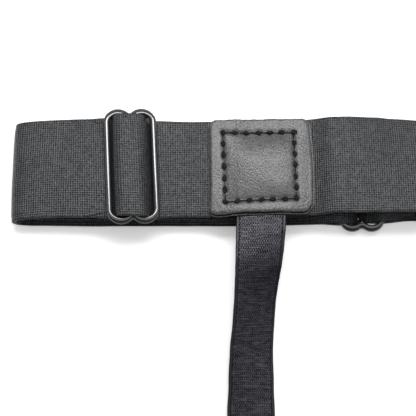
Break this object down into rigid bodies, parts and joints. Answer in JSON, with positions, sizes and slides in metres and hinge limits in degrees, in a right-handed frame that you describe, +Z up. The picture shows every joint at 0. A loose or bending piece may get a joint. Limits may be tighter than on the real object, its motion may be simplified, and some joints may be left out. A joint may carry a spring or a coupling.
{
  "type": "shirt stay",
  "caption": "Thigh-worn shirt stay: a wide elastic band adjusted by wire slides, leather patches, and a narrow elastic strap running down to a shirt clip.",
  "frame": {"origin": "centre of the whole stay's plan outline, on the surface that it lies on", "axes": "+X along the flattened band towards its plain fold, +Y across the band away from the strap, +Z up from the surface"},
  "size_m": [0.2198, 0.1828, 0.0189],
  "materials": {
    "band_elastic": "matte dark grey woven elastic",
    "strap_elastic": "matte charcoal ribbed elastic",
    "leather": "grey leather with a soft sheen and dark cut edges",
    "black_wire": "gloss black",
    "clip_black": "satin black"
  },
  "bodies": {
    "root": {"thigh_band": "band_elastic", "front_slide": "black_wire", "back_slide": "black_wire", "patch_front": "leather", "patch_back": "leather", "clip_strap": "strap_elastic", "shirt_clip": "clip_black"}
  },
  "joints": []
}
